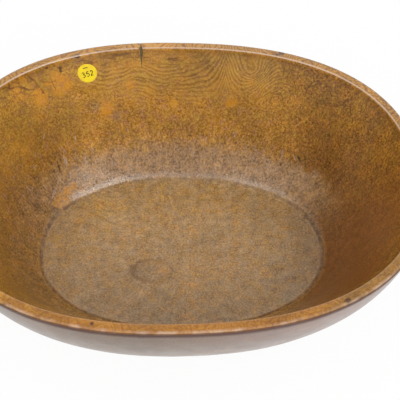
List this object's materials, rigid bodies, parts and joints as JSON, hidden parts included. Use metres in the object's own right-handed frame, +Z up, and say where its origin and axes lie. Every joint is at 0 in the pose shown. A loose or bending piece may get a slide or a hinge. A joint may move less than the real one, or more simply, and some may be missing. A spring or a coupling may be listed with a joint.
{
  "type": "burl wood bowl",
  "caption": "Deep oval bowl carved from a single burl, with a flat rim and base, a filled drying check in the rim and a round paper lot sticker inside.",
  "frame": {"origin": "middle of the flat base, on the surface that the bowl stands on", "axes": "+X along the bowl's long axis, to its narrower end; +Y across it, to the side with the filled check and the sticker; +Z up, out of the bowl's mouth"},
  "size_m": [0.4218, 0.3232, 0.138],
  "materials": {
    "burl_wood": "oiled and worn, half gloss",
    "check_filler": "matte",
    "sticker_paper": "matte"
  },
  "bodies": {
    "root": {"bowl_body": "burl_wood", "rim_check_fill": "check_filler", "lot_sticker": "sticker_paper"}
  },
  "joints": []
}
